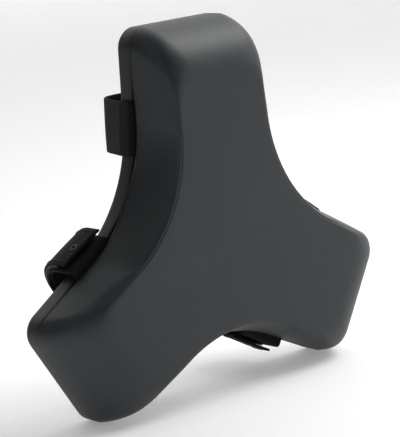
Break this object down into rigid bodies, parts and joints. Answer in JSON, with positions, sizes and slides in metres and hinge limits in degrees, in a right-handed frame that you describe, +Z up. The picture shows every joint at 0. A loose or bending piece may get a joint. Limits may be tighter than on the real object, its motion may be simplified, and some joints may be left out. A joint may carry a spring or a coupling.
{
  "type": "face cradle cushion",
  "caption": "Three-armed foam cushion with rounded shoulders on a flat base, with a hook-and-loop webbing strap across the back of each arm to hold it on a face cradle frame.",
  "frame": {"origin": "centre of the flat back face, where the axes of the three arms meet", "axes": "+Z up along the axis of the top arm, +Y out of the back face, -Y towards the padded front, +X to the right seen from the front"},
  "size_m": [0.2978, 0.087, 0.2619],
  "materials": {
    "vinyl_skin": "satin dark charcoal upholstery skin",
    "foam": "open-cell foam",
    "plywood": "plain birch plywood",
    "zinc_steel": "zinc plated",
    "black_steel": "black oxide",
    "nylon": "black nylon",
    "webbing": "black woven polypropylene webbing",
    "hook_tape": "black hook tape",
    "loop_tape": "black loop tape",
    "thread": "bonded polyester thread"
  },
  "bodies": {
    "pad": {"cushion_cover": "vinyl_skin", "foam_core": "foam", "insert_panel": "plywood", "tee_nuts": "zinc_steel", "cover_staples": "zinc_steel", "base_cover": "vinyl_skin", "base_board": "plywood", "base_staples": "zinc_steel", "spacers": "nylon", "washers": "zinc_steel", "screws": "black_steel", "strap_staples": "zinc_steel", "strap_top": "webbing", "hook_patch_top": "hook_tape", "tab_stitching_top": "thread", "strap_left": "webbing", "hook_patch_left": "hook_tape", "tab_stitching_left": "thread", "strap_right": "webbing", "hook_patch_right": "hook_tape", "tab_stitching_right": "thread"},
    "tail_top": {"strap_tail_top": "webbing", "loop_patch_top": "loop_tape", "tail_stitching_top": "thread", "eyelet_top": "black_steel"},
    "tail_left": {"strap_tail_left": "webbing", "loop_patch_left": "loop_tape", "tail_stitching_left": "thread", "eyelet_left": "black_steel"},
    "tail_right": {"strap_tail_right": "webbing", "loop_patch_right": "loop_tape", "tail_stitching_right": "thread", "eyelet_right": "black_steel"}
  },
  "joints": [
    {"name": "top_strap_closure", "type": "hinge", "parent": "pad", "child": "tail_top", "pos_m": [0.018, 0.0313, 0.084], "axis": [0, 0, 1], "range_deg": [0, 100]},
    {"name": "left_strap_closure", "type": "hinge", "parent": "pad", "child": "tail_left", "pos_m": [-0.08175, 0.0313, -0.02641], "axis": [-0.866, 0, -0.5], "range_deg": [0, 100]},
    {"name": "right_strap_closure", "type": "hinge", "parent": "pad", "child": "tail_right", "pos_m": [0.06375, 0.0313, -0.05759], "axis": [0.866, 0, -0.5], "range_deg": [0, 100]}
  ]
}
